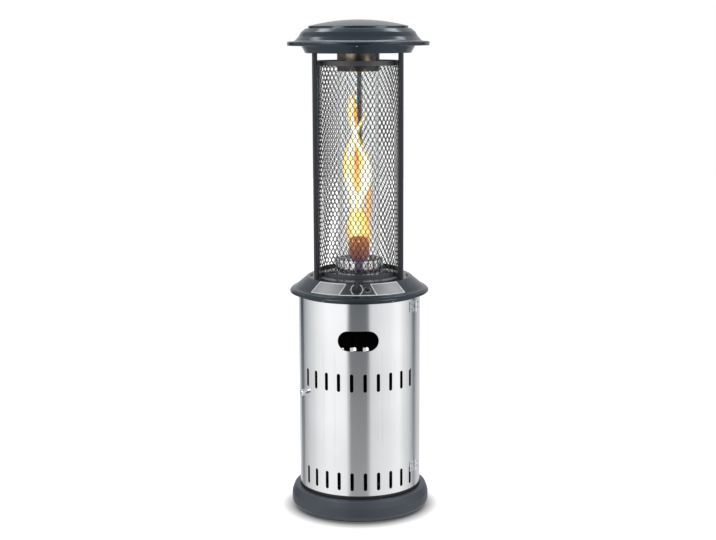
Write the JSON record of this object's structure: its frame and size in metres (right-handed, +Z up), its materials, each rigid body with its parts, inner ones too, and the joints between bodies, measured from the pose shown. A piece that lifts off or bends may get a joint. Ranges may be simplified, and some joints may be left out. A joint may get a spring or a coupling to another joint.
{
  "type": "patio heater",
  "caption": "Round free-standing gas patio heater with a steel bottle cabinet, a hinged door, a caged glass flame tube and a flat domed hood.",
  "frame": {"origin": "on the floor under the middle of the round base", "axes": "+Z up along the flame tube, -Y towards the control panel, +X to its right"},
  "size_m": [0.514, 0.514, 1.8],
  "materials": {
    "rubber": "matte black",
    "slate_paint": "satin slate grey powder coat",
    "black_paint": "satin black powder coat",
    "brushed_steel": "fine vertical brushed stainless steel",
    "zinc_plate": "dull zinc plating",
    "chrome": "polished",
    "panel_print": "silver and dark grey print with light border lines",
    "knob_plastic": "matte black",
    "cast_alloy": "die-cast",
    "brass": "drawn",
    "burner_steel": "heat-tinted stainless steel",
    "holder_steel": "bright stainless steel",
    "glass": "clear heat-resisting glass",
    "fibre": "woven glass fibre",
    "ceramic": "white alumina",
    "lead_sleeve": "silicone sleeve"
  },
  "bodies": {
    "frame": {"base_pan": "black_paint", "base_ring": "slate_paint", "burner_box": "zinc_plate", "burner_head": "burner_steel", "burner_plate": "burner_steel", "burner_tube": "burner_steel", "cabinet_screws": "zinc_plate", "control_panel": "panel_print", "deck": "slate_paint", "deck_base": "black_paint", "deck_bolts": "zinc_plate", "deck_stiffener": "zinc_plate", "foot_screws": "zinc_plate", "front_uprights": "black_paint", "gas_inlet": "brass", "gas_valve": "cast_alloy", "glass_collar": "holder_steel", "glass_cup": "holder_steel", "glass_gaskets": "fibre", "glass_tube": "glass", "guard_mesh": "black_paint", "guard_ring_lower": "black_paint", "guard_ring_upper": "black_paint", "heat_baffle": "zinc_plate", "hinge_fixed_leaves": "chrome", "hinge_pins": "chrome", "hood": "slate_paint", "hood_brackets": "zinc_plate", "hood_screws": "zinc_plate", "hood_tray": "slate_paint", "igniter_body": "knob_plastic", "igniter_electrode": "ceramic", "igniter_lead": "lead_sleeve", "injector": "brass", "main_gas_pipe": "brass", "panel_nuts": "zinc_plate", "pilot_burner": "brass", "pilot_gas_pipe": "brass", "post_brackets": "black_paint", "post_front_left": "slate_paint", "post_front_right": "slate_paint", "post_nuts": "zinc_plate", "post_rear": "slate_paint", "rear_housing": "brushed_steel", "rear_uprights": "black_paint", "rubber_feet": "rubber", "thermocouple": "brass", "tie_rods": "zinc_plate", "tilt_switch": "knob_plastic"},
    "door": {"door": "brushed_steel", "door_rails": "black_paint", "hinge_door_screws": "zinc_plate", "hinge_door_leaves": "chrome", "latch_rosette": "chrome"},
    "latch": {"latch_knob": "chrome", "latch_cam": "zinc_plate"},
    "knob_push": {"push_collar": "zinc_plate"},
    "knob": {"valve_spindle": "zinc_plate", "control_knob": "knob_plastic"},
    "igniter": {"igniter_button": "knob_plastic"}
  },
  "joints": [
    {"name": "door_hinge", "type": "hinge", "parent": "frame", "child": "door", "pos_m": [0.20703, -0.10019, 0.445], "axis": [0, 0, 1], "range_deg": [0, 110]},
    {"name": "latch_turn", "type": "hinge", "parent": "door", "child": "latch", "pos_m": [-0.19757, -0.11178, 0.451], "axis": [-0.8704, -0.4924, 0], "range_deg": [-90, 0]},
    {"name": "knob_push", "type": "slide", "parent": "frame", "child": "knob_push", "axis": [0.0135, 0.6426, -0.766], "range_m": [0, 0.0035], "stiffness_N_per_m": 400, "springref_m": -0.002},
    {"name": "knob_turn", "type": "hinge", "parent": "knob_push", "child": "knob", "pos_m": [-0.00448, -0.21393, 0.85072], "axis": [-0.0135, -0.6426, 0.766], "range_deg": [0, 180]},
    {"name": "igniter_push", "type": "slide", "parent": "frame", "child": "igniter", "axis": [-0.0983, 0.6352, -0.766], "range_m": [0, 0.006], "stiffness_N_per_m": 500, "springref_m": -0.002}
  ]
}
